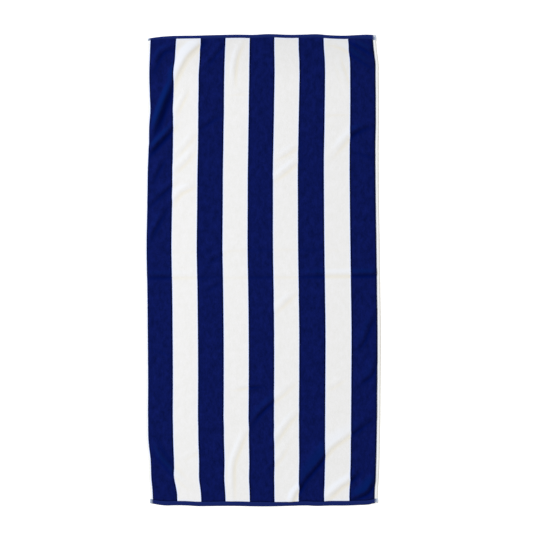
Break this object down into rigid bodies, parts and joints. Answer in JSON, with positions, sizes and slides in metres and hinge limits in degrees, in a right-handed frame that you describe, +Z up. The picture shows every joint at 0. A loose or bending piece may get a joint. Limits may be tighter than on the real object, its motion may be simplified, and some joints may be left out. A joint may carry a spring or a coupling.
{
  "type": "beach towel",
  "caption": "Rectangular cotton terry beach towel with lengthwise navy and white stripes, white selvedges and navy hems, laid out flat with soft creases.",
  "frame": {"origin": "on the floor, under the middle of the laid-out towel", "axes": "+Y along the towel's length, towards the picture's top hem; +X across it, towards the picture's right side; +Z up, out of the face that shows"},
  "size_m": [0.808, 1.6, 0.012],
  "materials": {
    "terry": "looped cotton pile in navy and white stripes of one width, navy outermost",
    "flat_weave": "loop-free cotton weave, white at the selvedges and navy at the hems",
    "sewing_thread": "navy polyester lockstitch thread"
  },
  "bodies": {
    "root": {"towel": "terry"}
  },
  "joints": []
}
